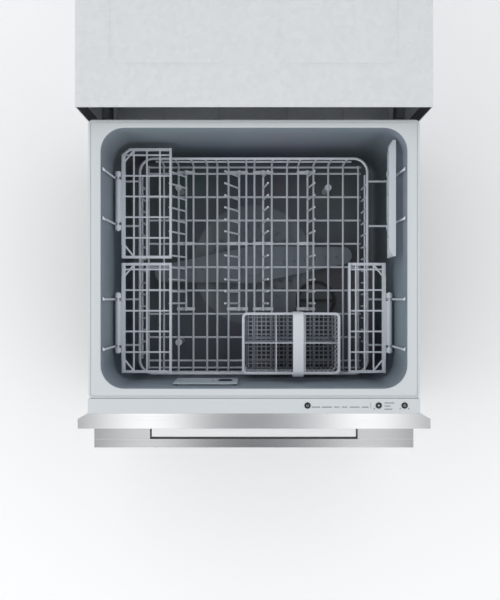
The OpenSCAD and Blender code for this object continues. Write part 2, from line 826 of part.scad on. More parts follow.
rack_z = tub_floor_z + rack_lift_h;
ring_z = rack_z + 67;
rack_hw = 206;
ring_hw = 214;
rack_v0 = mouth_front + 15.5;
rack_v1 = mouth_back - 30;
ring_v0 = mouth_front + 12.5;
ring_v1 = mouth_back - 27;
ring_r = 26;
long_x = [-206, -176, -147, -118, -91, -71, -49, -14, 2, 36, 66, 88, 118, 147, 176, 206];
cross_v = [for (v = [rack_v0 + 16 : cross_pitch : rack_v1 - 12]) v];
module rack_floor() {
    color(wire_grey) {
        for (x = long_x)
            wire([x, rack_v0, rack_z], [x, rack_v1, rack_z], rack_wire);
        for (v = concat([rack_v0 + 2], cross_v, [rack_v1 - 2]))
            wire([-rack_hw - 5, v, rack_z - 0.75 * rack_wire],
                 [rack_hw + 5, v, rack_z - 0.75 * rack_wire], rack_wire);
    }
}
// Moulded feet that stand on the tub floor, each with a groove for a long wire
foot_x = 147;
foot_d = 13;
module rack_feet() {
    color(wire_grey)
        for (side = [-1, 1], v = [rack_v0 + 52, rack_v1 - 42])
            translate([side * foot_x, v, 0])
                difference() {
                    translate([0, 0, tub_floor_z + 0.5])
                        cylinder(h = rack_z - tub_floor_z - 0.5, d = foot_d);
                    translate([0, -foot_d, rack_z]) rotate([-90, 0, 0])
                        cylinder(h = 2 * foot_d, d = rack_wire);
                }
}

// Upright wires of a side stand outside the floor's ends, under the ring wire
hinge_z = tub_floor_z + cup_rack_z;
hinge_x = tub_w / 2 - wall_in(hinge_z) - 9.2;
rod_d = 5;
arm_d = 4;
arm_low_x = tub_w / 2 - wall_in(ring_z) - arm_d / 2 - 1.4;
arm_top_z = rim_z - 7;
arm_top_x = tub_w / 2 - wall_in(arm_top_z) - arm_d / 2 - 1.6;
rear_arms = [mouth_front + 290, mouth_front + 374];
front_arms = [mouth_front + 66, mouth_front + 152];
clip_d = 11;
clip_l = 9;
rod_out = arm_d / 2 + clip_l + 2;
function arm_x(z) = arm_low_x + (arm_top_x - arm_low_x) * (z - ring_z) / (arm_top_z - ring_z);
// The right side; the left is its mirror image
module rack_side() {
    color(wire_grey) {
        wire([ring_hw, ring_v0 + ring_r, ring_z], [ring_hw, ring_v1 - ring_r, ring_z], frame_wire);
        wire([ring_hw, ring_v0 + ring_r, (rack_z + ring_z) / 2],
             [ring_hw, ring_v1 - ring_r, (rack_z + ring_z) / 2], rack_wire);
        for (v = [ring_v0 + ring_r + 8 : cross_pitch / 2 : ring_v1 - ring_r - 8])
            wire([ring_hw - 1, v, rack_z - 4], [ring_hw - 1, v, ring_z], rack_wire);
        for (arms = [rear_arms, front_arms]) {
            for (v = arms) {
                wire([ring_hw - 2, v, ring_z], [arm_low_x, v, ring_z], arm_d);
                wire([arm_low_x, v, ring_z], [arm_top_x, v, arm_top_z], arm_d);
                translate([arm_low_x, v, ring_z]) sphere(d = arm_d + 0.8);
                translate([arm_top_x, v, arm_top_z]) sphere(d = arm_d + 0.8);
                wire([arm_top_x, v, arm_top_z], [tub_w / 2 - 3, v + 3, arm_top_z + 2], arm_d - 1);
            }
            wire([hinge_x, arms[0] - rod_out, hinge_z], [hinge_x, arms[1] + rod_out, hinge_z], rod_d);
        }
    }
}
// Front and back sides carry the ring wire's rounded corners
module rack_end(v, toward) {
    color(wire_grey) {
        wire([-ring_hw + ring_r, v, ring_z], [ring_hw - ring_r, v, ring_z], frame_wire);
        wire([-ring_hw + ring_r, v, (rack_z + ring_z) / 2], [ring_hw - ring_r, v, (rack_z + ring_z) / 2],
             rack_wire);
        for (side = [-1, 1])
            translate([side * (ring_hw - ring_r), v + toward * ring_r, ring_z])
                bend(ring_r, frame_wire, toward > 0 ? (side > 0 ? 270 : 180) : (side > 0 ? 0 : 90));
        for (x = long_x)
            if (abs(x) < ring_hw - ring_r - 2)
                wire([x, v + toward, rack_z - 4], [x, v + toward, ring_z], rack_wire);
    }
}
// Caps that close each hinge rod beside its arms
module hinge_clips() {
    color(wire_grey)
        for (side = [-1, 1], arms = [rear_arms, front_arms], end = [0, 1])
            translate([side * hinge_x, arms[end] + (end == 0 ? -arm_d / 2 - 0.4 - clip_l
                                                             : arm_d / 2 + 0.4), hinge_z])
                rotate([-90, 0, 0])
                    difference() {
                        cylinder(h = clip_l, d = clip_d);
                        translate([0, 0, -1]) cylinder(h = clip_l + 2, d = rod_d);
                    }
}

// ---- Folding tine rows ---------------------------------------------------------------------

tine_d = 3.6;
tine_h = 74;
tine_pitch = 22.5;
row_d = 4;
row_z = rack_z + rack_wire / 2 + row_d / 2 + 0.8;
rows = [-132, -28, 19, 106];
row_lean = [-20, -20, 6, 6];
row_v0 = rack_v0 + 123;
row_v1 = rack_v1 - 18;
clip_v = [row_v0 - 5, (row_v0 + row_v1) / 2 - tine_pitch / 4, row_v1 + 5];
module tine_row(n) {
    color(wire_grey) {
        wire([rows[n], row_v0 - 9, row_z], [rows[n], row_v1 + 9, row_z], row_d);
        for (v = [row_v0 + 6 : tine_pitch : row_v1])
            if (abs(v - clip_v[1]) > 6)
                translate([rows[n], v, row_z]) rotate([0, row_lean[n], 0]) {
                    cylinder(h = tine_h, d = tine_d);
                    translate([0, 0, tine_h]) sphere(d = tine_d + 0.6);
                }
    }
}
function wire_left_of(x) = max([for (w = long_x) if (w < x) w]);
function wire_right_of(x) = min([for (w = long_x) if (w > x) w]);
// Moulded clips, each across two floor wires, in which the rows turn
module tine_clips() {
    color(wire_grey)
        for (x = rows, v = clip_v)
            translate([x, v, 0])
                difference() {
                    union() {
                        translate([-4.5, -3, rack_z + rack_wire / 2]) cube([9, 6, row_z - rack_z - rack_wire / 2]);
                        translate([0, -3, row_z]) rotate([-90, 0, 0]) cylinder(h = 6, d = 9);
                        translate([wire_left_of(x) - x - 3, -3, rack_z])
                            cube([wire_right_of(x) - wire_left_of(x) + 6, 6, rack_wire / 2 + 1.4]);
                    }
                    translate([0, -4, row_z]) rotate([-90, 0, 0]) cylinder(h = 8, d = row_d + 2 * pin_play);
                    for (w = [wire_left_of(x), wire_right_of(x)])
                        translate([w - x, -5, rack_z]) rotate([-90, 0, 0])
                            cylinder(h = 10, d = rack_wire);
                }
}

// ---- Cup racks -----------------------------------------------------------------------------

band_h = 12;
band_end_h = 5;
band_taper = 14;
band_t = 4;
bar_d = 3.4;
sleeve_d = 10;
sleeve_gap = 0.5;
up_angle = 88;
rack_gap = 8;
rear_v1 = mouth_back - 15;
hinge_cut_l = 24;
hinge_cut_w = 20;
right_cut = 23;
// Drawn folded down from the hinge line at the origin, reaching towards +X. The corners on the hinge
// side are cut off, clear of the tub's round corners.
module cup_rack_flat(width, length, sleeve_v0, sleeve_v1) {
    inner = clip_d / 2 + 0.8;
    cut_x = inner + hinge_cut_w;
    difference() {
        union() {
            translate([inner, hinge_cut_l, -5]) cube([7, length - 2 * hinge_cut_l, 5]);
            translate([0, sleeve_v0 + 1, -4.4]) cube([inner + 1, sleeve_v1 - sleeve_v0 - 2, 4]);
            translate([width - band_t, 0, 1]) rotate([90, 0, 90]) linear_extrude(band_t)
                polygon([[0, 0], [length, 0], [length, -band_end_h], [length - band_taper, -band_h],
                         [band_taper, -band_h], [0, -band_end_h]]);
            for (v = [0, length - 5])
                translate([cut_x, v, -5]) cube([width - cut_x, 5, 4]);
            for (end = [0, 1])
                translate([0, end * length, 0]) scale([1, 1 - 2 * end, 1])
                    wire([inner + 3.1, hinge_cut_l + 3, -2.9], [cut_x + 3, 2.4, -2.9], 3.4);
            for (k = [1:3])
                wire([cut_x + 2 + (k - 1) * (width - cut_x) / 3, 2, -4],
                     [cut_x + 2 + (k - 1) * (width - cut_x) / 3, length - 2, -4], bar_d);
            for (v = [cup_bar_pitch : cup_bar_pitch : length - 12])
                wire([inner + 3, v, -4], [width - 2, v, -4], bar_d);
            translate([0, sleeve_v0, 0]) rotate([-90, 0, 0])
                cylinder(h = sleeve_v1 - sleeve_v0, d = sleeve_d);
        }
        translate([0, -1, 0]) rotate([-90, 0, 0]) cylinder(h = length + 2, d = rod_d + 2 * pin_play);
    }
}
// rear: +1 rear pair, 0 front pair; angle is how far it is folded up
module cup_rack(side, rear, angle) {
    v0 = rear ? rear_v1 - cup_rack_l : rear_v1 - 2 * cup_rack_l - rack_gap;
    arms = rear ? rear_arms : front_arms;
    clip_end = arm_d / 2 + sleeve_gap;
    color(wire_grey)
        translate([side * hinge_x, v0, hinge_z])
            rotate([0, side * angle, 0])
                scale([-side, 1, 1])
                    cup_rack_flat(side > 0 ? cup_rack_w - right_cut : cup_rack_w, cup_rack_l,
                                  arms[0] + clip_end - v0, arms[1] - clip_end - v0);
}

// ---- Cutlery basket ------------------------------------------------------------------------

basket_x0 = -20;
basket_v0 = ring_v0 + 4.2;
basket_z = rack_z + rack_wire / 2 + 0.3;
basket_rim = 3;
module basket_plan(inset, l, w) {
    translate([w / 2, l / 2]) round_rect(w - 2 * inset, l - 2 * inset, 8 - inset);
}
module cutlery_basket() {
    color(wire_grey)
        translate([basket_x0, basket_v0, basket_z])
            difference() {
                union() {
                    linear_extrude(basket_h) basket_plan(0, basket_d, basket_w);
                    translate([0, 0, basket_h - 5]) linear_extrude(5)
                        translate([basket_w / 2, basket_d / 2])
                            round_rect(basket_w + basket_rim, basket_d + basket_rim, 9);
                }
                translate([0, 0, basket_t]) linear_extrude(basket_h)
                    basket_plan(basket_t, basket_d, basket_w);
            }
}
// Cross of thin walls that drops into the basket and makes its pockets
divider_gap = 0.3;
divider_h = 96;
module basket_divider() {
    color(wire_grey)
        translate([basket_x0, basket_v0, basket_z + basket_t + divider_gap]) {
            translate([basket_t + divider_gap, basket_d / 2 - 1, 0])
                cube([basket_w - 2 * basket_t - 2 * divider_gap, 2, divider_h]);
            for (x = [basket_w * 0.35, basket_w * 0.65])
                translate([x - 1, basket_t + divider_gap, 0])
                    cube([2, basket_d - 2 * basket_t - 2 * divider_gap, divider_h]);
        }
}
grip_w = 19;
grip_up = 34;
module basket_handle() {
    grip_x = basket_x0 + basket_w / 2 + 11;
    color(pale_grey)
        translate([grip_x - grip_w / 2, basket_v0, basket_z + basket_h])
            difference() {
                translate([0, -basket_rim, -12]) cube([grip_w, basket_d + 2 * basket_rim, grip_up + 12]);
                translate([-1, -basket_rim / 2, -13])
                    cube([grip_w + 2, basket_d + basket_rim, grip_up + 13 - 4]);
            }
}

// ---- Assembly ------------------------------------------------------------------------------

chassis_base();
chassis_side(-1);  // chassis_left_side
chassis_side(1);  // chassis_right_side
chassis_top();
chassis_back();
front_surround();
outer_runner(-1);  // left_outer_runner
outer_runner(1);  // right_outer_runner
lid_actuator(-1);  // left_lid_actuator
lid_actuator(1);  // right_lid_actuator
inlet_valve();
drain_spigot();
power_gland();
middle_runner(-1);  // left_middle_runner
middle_runner(1);  // right_middle_runner
tub_lid();
lid_seal();
lid_rocker(-1);  // left_lid_rocker
lid_rocker(1);  // right_lid_rocker
inner_runner(-1);  // left_inner_runner
inner_runner(1);  // right_inner_runner
in_drawer() tub();
in_drawer() front_frame();
in_drawer() front_panel();
in_drawer() handle();
in_drawer() handle_screws();
in_drawer() control_strip();
in_drawer() control_module();
in_drawer() push_button(button_x[0]);  // cycle_button
in_drawer() push_button(button_x[1]);  // start_button
in_drawer() push_button(button_x[2]);  // power_button
in_drawer() dispenser_housing();
in_drawer() detergent_door();
in_drawer() rinse_aid_cap();
in_drawer() filter_plate();
in_drawer() drain_filter();
in_drawer() spray_arm();
in_drawer() spray_bearing();
in_drawer() heater_plate();
in_drawer() wash_motor();
in_drawer() drain_pump();
in_drawer() rack_floor();
in_drawer() rack_feet();
in_drawer() mirror([1, 0, 0]) rack_side();  // rack_left_side
in_drawer() rack_side();  // rack_right_side
in_drawer() rack_end(ring_v0, 1);  // rack_front
in_drawer() rack_end(ring_v1, -1);  // rack_back
in_drawer() hinge_clips();
in_drawer() tine_clips();
in_drawer() tine_row(0);  // bowl_tines_left
in_drawer() tine_row(1);  // bowl_tines_centre
in_drawer() tine_row(2);  // plate_tines_left
in_drawer() tine_row(3);  // plate_tines_right
in_drawer() cup_rack(-1, true, 0);  // cup_rack_rear_left
in_drawer() cup_rack(-1, false, 0);  // cup_rack_front_left
in_drawer() cup_rack(1, true, up_angle);  // cup_rack_rear_right
in_drawer() cup_rack(1, false, 0);  // cup_rack_front_right
in_drawer() cutlery_basket();
in_drawer() basket_divider();
in_drawer() basket_handle();
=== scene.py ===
import math

import bmesh
import bpy
from mathutils import Matrix, Vector


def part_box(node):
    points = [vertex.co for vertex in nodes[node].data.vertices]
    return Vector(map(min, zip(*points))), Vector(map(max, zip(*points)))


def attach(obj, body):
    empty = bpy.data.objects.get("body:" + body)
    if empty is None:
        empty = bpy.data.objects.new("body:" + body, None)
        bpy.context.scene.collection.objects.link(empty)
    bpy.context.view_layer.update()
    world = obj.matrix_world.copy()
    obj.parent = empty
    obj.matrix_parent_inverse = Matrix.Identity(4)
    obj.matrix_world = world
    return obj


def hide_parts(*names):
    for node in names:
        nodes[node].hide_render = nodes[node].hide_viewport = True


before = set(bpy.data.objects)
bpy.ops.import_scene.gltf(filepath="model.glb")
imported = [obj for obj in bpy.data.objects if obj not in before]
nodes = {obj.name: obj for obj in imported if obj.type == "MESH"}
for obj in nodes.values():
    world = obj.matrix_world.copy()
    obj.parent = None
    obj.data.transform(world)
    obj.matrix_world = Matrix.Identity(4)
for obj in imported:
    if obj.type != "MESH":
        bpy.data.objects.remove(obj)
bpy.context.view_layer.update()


# ---- The place of the eye ---------------------------------------------------------------------
# The drawer is seen from straight above, with the control strip and the handle at the lower edge,
# from 1.35 m over the rim of the tub.
EYE = (-0.0068, -0.5977, 1.728)
EYE_LENS, EYE_SENSOR = 47.6, 36.0
NEAREST, FARTHEST = 0.05, 30.0
eye_data = bpy.data.cameras.new("eye")
eye_data.lens, eye_data.sensor_width = EYE_LENS, EYE_SENSOR
eye_data.clip_start, eye_data.clip_end = NEAREST, FARTHEST
eye = bpy.data.objects.new("eye", eye_data)
eye.location = EYE
bpy.context.scene.collection.objects.link(eye)
bpy.context.scene.camera = eye
bpy.context.scene.view_settings.view_transform = "Standard"


# ---- Floor, sky and lamp ----------------------------------------------------------------------
# A plain pale floor under an even pale sky, with one broad lamp at the left. Overhead the sky is
# banded where it is mirrored, so that the brushed steel gets its bright and dark stripes.
def linear(code):
    """The linear colour of an sRGB hex code."""
    parts = [int(code[i:i + 2], 16) / 255 for i in (1, 3, 5)]
    return (*(c / 12.92 if c <= 0.04045 else ((c + 0.055) / 1.055) ** 2.4 for c in parts), 1.0)


def add(tree, kind, feeds=None, **settings):
    """Adds a node. Feeds gives its inputs, each a value or the socket that is linked to it."""
    made = tree.nodes.new(kind)
    for name, value in settings.items():
        setattr(made, name, value)
    for name, value in (feeds or {}).items():
        if isinstance(value, bpy.types.NodeSocket):
            tree.links.new(value, made.inputs[name])
        else:
            made.inputs[name].default_value = value
    return made


# Rise of a direction, from 0 level to 1 straight up, where the overhead sky begins and is whole
OVERHEAD_FROM, OVERHEAD_TO = 0.62, 0.93
LIGHT_AROUND, LIGHT_OVERHEAD, LIGHT_STRENGTH = "#FBFBFC", "#94979A", 1.42
SEEN_AROUND, SEEN_OVERHEAD, SEEN_STRENGTH = "#E9EAEB", "#B6B9BC", 1.0
MIRRORED_AROUND, MIRRORED_STRENGTH = "#A8A9AA", 2.0
# The bands lie across the overhead sky from -BAND_REACH to BAND_REACH along X, given as a share of
# that width and a tone
BAND_REACH = 0.5
BANDS = [(0.12, "#A6A8AA"), (0.27, "#4E5052"), (0.38, "#FFFFFF"), (0.455, "#6A6C6E"),
         (0.50, "#5C5E60"), (0.57, "#8A8C8E"), (0.645, "#FFFFFF"), (0.73, "#5C5E60"),
         (0.88, "#A6A8AA")]
world = bpy.data.worlds.new("pale_sky")
world.use_nodes = True
bpy.context.scene.world = world
sky = world.node_tree
sky.nodes.clear()
heading = add(sky, "ShaderNodeTexCoord")
upward = add(sky, "ShaderNodeSeparateXYZ", {0: heading.outputs["Generated"]})
overhead = add(sky, "ShaderNodeMapRange", {"Value": upward.outputs["Z"], "From Min": OVERHEAD_FROM,
                                           "From Max": OVERHEAD_TO},
               interpolation_type="SMOOTHSTEP")
path = add(sky, "ShaderNodeLightPath")
light_tone = add(sky, "ShaderNodeMix", {0: overhead.outputs[0], 6: linear(LIGHT_AROUND),
                                        7: linear(LIGHT_OVERHEAD)}, data_type="RGBA")
light_on_things = add(sky, "ShaderNodeBackground", {"Color": light_tone.outputs[2],
                                                    "Strength": LIGHT_STRENGTH})
shown_tone = add(sky, "ShaderNodeMix", {0: overhead.outputs[0], 6: linear(SEEN_AROUND),
                                        7: linear(SEEN_OVERHEAD)}, data_type="RGBA")
across = add(sky, "ShaderNodeMapRange", {"Value": upward.outputs["X"], "From Min": -BAND_REACH,
                                         "From Max": BAND_REACH})
bands = add(sky, "ShaderNodeValToRGB", {"Fac": across.outputs[0]})
bands.color_ramp.interpolation = "EASE"
ramp = bands.color_ramp.elements
stops = [ramp[0], *(ramp.new(spot) for spot, tone in BANDS[1:-1]), ramp[-1]]
for stop, (spot, tone) in zip(stops, BANDS):
    stop.position, stop.color = spot, linear(tone)
mirrored_tone = add(sky, "ShaderNodeMix", {0: overhead.outputs[0], 6: linear(MIRRORED_AROUND),
                                           7: bands.outputs[0]}, data_type="RGBA")
mirrored_sky = add(sky, "ShaderNodeBackground", {"Color": mirrored_tone.outputs[2],
                                                 "Strength": MIRRORED_STRENGTH})
shown = add(sky, "ShaderNodeBackground", {"Color": shown_tone.outputs[2],
                                          "Strength": SEEN_STRENGTH})
seen = add(sky, "ShaderNodeMath", {0: path.outputs["Is Camera Ray"],
                                   1: path.outputs["Is Transmission Ray"]}, operation="MAXIMUM")
lit_or_seen = add(sky, "ShaderNodeMixShader", {0: seen.outputs[0], 1: light_on_things.outputs[0],
                                               2: shown.outputs[0]})
whole = add(sky, "ShaderNodeMixShader", {0: path.outputs["Is Glossy Ray"],
                                         1: lit_or_seen.outputs[0], 2: mirrored_sky.outputs[0]})
add(sky, "ShaderNodeOutputWorld", {"Surface": whole.outputs[0]})

LAMP_AT, LAMP_AIM = Vector((-2.5, -1.1, 2.4)), Vector((0.0, -0.5, 0.3))
LAMP_WIDTH, LAMP_LENGTH, LAMP_WATTS = 1.6, 1.4, 10.0
lamp_data = bpy.data.lights.new("broad_lamp", "AREA")
lamp_data.shape = "RECTANGLE"
lamp_data.size, lamp_data.size_y = LAMP_WIDTH, LAMP_LENGTH
lamp_data.energy = LAMP_WATTS
lamp = bpy.data.objects.new("broad_lamp", lamp_data)
lamp.location = LAMP_AT
lamp.rotation_euler = (LAMP_AIM - LAMP_AT).to_track_quat("-Z", "Y").to_euler()
bpy.context.scene.collection.objects.link(lamp)


def plain_finish(name, code, roughness, metallic=0.0):
    """A new material, with what is the same all over it."""
    material = bpy.data.materials.new(name)
    material.use_nodes = True
    shader = material.node_tree.nodes["Principled BSDF"]
    shader.inputs["Base Color"].default_value = linear(code)
    shader.inputs["Roughness"].default_value = roughness
    shader.inputs["Metallic"].default_value = metallic
    return material


FLOOR_SIZE, FLOOR_DROP = 9.0, 0.0004
floor_mesh = bpy.data.meshes.new("floor")
shape = bmesh.new()
bmesh.ops.create_grid(shape, x_segments=1, y_segments=1, size=FLOOR_SIZE)
bmesh.ops.translate(shape, verts=shape.verts, vec=(0, 0, -FLOOR_DROP))
shape.to_mesh(floor_mesh)
shape.free()
floor = bpy.data.objects.new("floor", floor_mesh)
bpy.context.scene.collection.objects.link(floor)
floor.data.materials.append(plain_finish("floor_paper", "#FAFAFA", 0.9))


# ---- Chassis sheets ---------------------------------------------------------------------------
# Folded and pressed sheet steel, zinc coated at the mill, spot welded at its corners. The coating
# has frozen into faint spangles about 9 mm across, and handling has left it a little dull.
def laid_out(material):
    """The node tree and the shader of a material, and a socket with the place on the object."""
    tree = material.node_tree
    return tree, tree.nodes["Principled BSDF"], add(tree, "ShaderNodeTexCoord").outputs["Object"]


def finish_nodes(material, *names):
    """Gives CAD nodes their material."""
    for name in names:
        nodes[name].data.materials.clear()
        nodes[name].data.materials.append(material)


SPANGLES_IN_A_METRE = 110.0
zinc = plain_finish("zinc_coated_steel", "#D9DCDE", 0.5, 0.35)
tree, shader, place = laid_out(zinc)
spangle = add(tree, "ShaderNodeTexVoronoi", {"Vector": place, "Scale": SPANGLES_IN_A_METRE})
gloss = add(tree, "ShaderNodeMapRange", {"Value": spangle.outputs["Color"], "To Min": 0.44,
                                         "To Max": 0.54})
tree.links.new(gloss.outputs[0], shader.inputs["Roughness"])
cast = add(tree, "ShaderNodeMix", {0: spangle.outputs["Color"], 6: linear("#D6D9DB"),
                                   7: linear("#DDE0E1")}, data_type="RGBA")
tree.links.new(cast.outputs[2], shader.inputs["Base Color"])
finish_nodes(zinc, "chassis_base", "chassis_left_side", "chassis_right_side", "chassis_top",
             "chassis_back")


# ---- Surround of the drawer opening -----------------------------------------------------------
# A dark frame of moulded polypropylene with a spark-eroded grain, clipped into the front edges of
# the sheets. The same stock makes the drawer's front frame and the housings of motor, pump and
# actuators.
GRAIN_DEPTH, GRAIN_DETAIL = 0.0004, 3.0


def grained(material, scale, strength):
    """Gives a material fine moulded grain as a bump. Scale is in grains to a metre.

    All grain here is 1 to 4 mm wide, coarser than life, because finer grain wouldn't show.
    """
    tree, shader, place = laid_out(material)
    grain = add(tree, "ShaderNodeTexNoise", {"Vector": place, "Scale": scale,
                                             "Detail": GRAIN_DETAIL})
    bump = add(tree, "ShaderNodeBump", {"Height": grain.outputs[0], "Strength": strength,
                                        "Distance": GRAIN_DEPTH})
    tree.links.new(bump.outputs[0], shader.inputs["Normal"])
    return material


dark = grained(plain_finish("dark_moulded_polypropylene", "#26272A", 0.55), 900.0, 0.25)
finish_nodes(dark, "front_surround", "left_lid_actuator", "right_lid_actuator", "drain_spigot",
             "power_gland", "front_frame", "control_module", "wash_motor", "drain_pump",
             "spray_bearing", "drain_filter", "rinse_aid_cap")


# ---- Runners ----------------------------------------------------------------------------------
# Three channels of rolled steel strip on each side, bright zinc plated, nest in each other and
# keep long faint drawing marks. The rocker arms of the lid are cut from the same strip, and the
# handle's screws are plated like it.
MARKS_IN_A_METRE = (60.0, 2.0, 900.0)
strip_steel = plain_finish("bright_zinc_plated_strip", "#B9BDC2", 0.3, 1.0)
tree, shader, place = laid_out(strip_steel)
drawn = add(tree, "ShaderNodeMapping", {"Vector": place, "Scale": MARKS_IN_A_METRE})
marks = add(tree, "ShaderNodeTexNoise", {"Vector": drawn.outputs[0], "Scale": 1.0, "Detail": 2.0})
gloss = add(tree, "ShaderNodeMapRange", {"Value": marks.outputs[0], "To Min": 0.24, "To Max": 0.4})
tree.links.new(gloss.outputs[0], shader.inputs["Roughness"])
finish_nodes(strip_steel, "left_outer_runner", "right_outer_runner", "left_middle_runner",
             "right_middle_runner", "left_inner_runner", "right_inner_runner",
             "left_lid_rocker", "right_lid_rocker", "handle_screws")


# ---- Lid, valve and dispenser -----------------------------------------------------------------
# Injection mouldings in pale grey talc-filled polypropylene, whose tone clouds a little from place
# to place. The lid carries a ring of black rubber that seals it on the tub.
CLOUDS_IN_A_METRE = 6.0
lid_grey = grained(plain_finish("satin_moulded_lid_plastic", "#AEB8BE", 0.4), 420.0, 0.12)
tree, shader, place = laid_out(lid_grey)
cloud = add(tree, "ShaderNodeTexNoise", {"Vector": place, "Scale": CLOUDS_IN_A_METRE,
                                         "Detail": 2.0})
cast = add(tree, "ShaderNodeMix", {0: cloud.outputs[0], 6: linear("#A8B2B9"),
                                   7: linear("#B3BCC2")}, data_type="RGBA")
tree.links.new(cast.outputs[2], shader.inputs["Base Color"])
finish_nodes(lid_grey, "tub_lid", "inlet_valve", "dispenser_housing", "detergent_door")
rubber = grained(plain_finish("lid_seal_rubber", "#1E1F21", 0.7), 500.0, 0.2)
finish_nodes(rubber, "lid_seal")


# ---- Front panel and handle -------------------------------------------------------------------
# Folded stainless sheet, brushed along its width with a 180 grit belt. The strokes are drawn
# coarser than life, about 1 mm apart with finer ones between, so that they still show.
STROKES_IN_A_METRE = (4.0, 900.0, 900.0)


def brushed(name, code):
    """Stainless steel with belt strokes along X, in the gloss and as a shallow bump."""
    material = plain_finish(name, code, 0.18, 1.0)
    tree, shader, place = laid_out(material)
    belt = add(tree, "ShaderNodeMapping", {"Vector": place, "Scale": STROKES_IN_A_METRE})
    strokes = add(tree, "ShaderNodeTexNoise", {"Vector": belt.outputs[0], "Scale": 1.0,
                                               "Detail": 3.0})
    gloss = add(tree, "ShaderNodeMapRange", {"Value": strokes.outputs[0], "To Min": 0.13,
                                             "To Max": 0.2})
    tree.links.new(gloss.outputs[0], shader.inputs["Roughness"])
    bump = add(tree, "ShaderNodeBump", {"Height": strokes.outputs[0], "Strength": 0.04,
                                        "Distance": 0.0002})
    tree.links.new(bump.outputs[0], shader.inputs["Normal"])
    return material


# Points that merge, then angles in degrees: one face up to it, a hard edge from it, and an edge
# that stays sharp in the shading of a softened piece
MERGED, ONE_FACE, HARD_EDGE, SHARP_SOFTENED = 1e-5, 1.0, 40.0, 12.0


def softened(name, radius, segments):
    """A copy of a CAD node, merged, with its hard edges rounded over by a small radius."""
    shape = bmesh.new()
    shape.from_mesh(nodes[name].data)
    bmesh.ops.remove_doubles(shape, verts=shape.verts, dist=MERGED)
    bmesh.ops.dissolve_limit(shape, angle_limit=math.radians(ONE_FACE), verts=shape.verts,
                             edges=shape.edges)
    hard = [e for e in shape.edges
            if len(e.link_faces) == 2 and e.calc_face_angle(0) > math.radians(HARD_EDGE)]
    bmesh.ops.bevel(shape, geom=hard, offset=radius, offset_type="OFFSET", affect="EDGES",
                    segments=segments, profile=0.5, material=-1, clamp_overlap=True)
    return shape


def settle(shape, name, material, body, slot_name, *stands_for, smooth=35.0):
    """Makes a shape a piece with its finish. It rides on a body, and may stand for CAD nodes.

    Its edges stay sharp from the angle smooth, in degrees.
    """
    mesh = bpy.data.meshes.new(name)
    shape.to_mesh(mesh)
    shape.free()
    mesh.materials.append(material)
    mesh.polygons.foreach_set("use_smooth", [True] * len(mesh.polygons))
    mesh.set_sharp_from_angle(angle=math.radians(smooth))
    piece = bpy.data.objects.new(name, mesh)
    bpy.context.scene.collection.objects.link(piece)
    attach(piece, body)
    if stands_for:
        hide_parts(*stands_for)


def stand_in(node, radius, name, material, body, slot_name, segments=3):
    """Sets a softened copy of a CAD node in its place."""
    settle(softened(node, radius, segments), name, material, body, slot_name, node,
           smooth=SHARP_SOFTENED)


steel = brushed("brushed_stainless_steel", "#DCDDDE")
# The handle takes a darker copy of the panel's steel: painted shade of the lower handle.
handle_steel_painted_shade = brushed("brushed_handle_steel_painted_shade", "#B2B3B4")
stand_in("front_panel", 0.0009, "folded_front_panel", steel, "drawer", "brushed_steel", segments=2)
stand_in("handle", 0.0012, "folded_handle", handle_steel_painted_shade, "drawer", "brushed_steel")


# ---- Control strip and buttons ----------------------------------------------------------------
# A moulded cap in pale cool grey with a fine satin face lies along the top of the front, and three
# round push buttons, moulded in gloss black, stand in it.
strip_grey = grained(plain_finish("satin_strip_plastic", "#C9CED0", 0.42), 700.0, 0.1)
stand_in("control_strip", 0.0012, "moulded_strip", strip_grey, "drawer", "strip_plastic")
button_black = plain_finish("gloss_black_button", "#131416", 0.16)
finish_nodes(button_black, "cycle_button", "start_button", "power_button")


# ---- Wash system ------------------------------------------------------------------------------
# A punched stainless filter plate covers the sump, and a ring of the same dull steel the heater.
# The spray arm that turns over them is moulded in grey polypropylene.
plate_steel = grained(plain_finish("punched_stainless_plate", "#6F757B", 0.5, 1.0), 300.0, 0.1)
finish_nodes(plate_steel, "filter_plate", "heater_plate")
spray_grey = grained(plain_finish("spray_arm_polypropylene", "#7C858C", 0.45), 500.0, 0.15)
finish_nodes(spray_grey, "spray_arm")


# ---- Racks ------------------------------------------------------------------------------------
# The base rack is welded steel wire dipped in grey nylon: the coating is smooth, soft edged and a
# little thick at the welds. The cup racks are moulded in nylon.
wire_grey = grained(plain_finish("nylon_coated_wire", "#D3D7DE", 0.34), 260.0, 0.12)
finish_nodes(wire_grey, "rack_floor", "rack_left_side", "rack_right_side", "rack_front",
             "rack_back", "rack_feet", "hinge_clips", "tine_clips", "bowl_tines_left",
             "bowl_tines_centre", "plate_tines_left", "plate_tines_right")
cup_grey = grained(plain_finish("cup_rack_nylon", "#CBD0D7", 0.4), 500.0, 0.12)
finish_nodes(cup_grey, "cup_rack_rear_left", "cup_rack_front_left", "cup_rack_rear_right",
             "cup_rack_front_right")
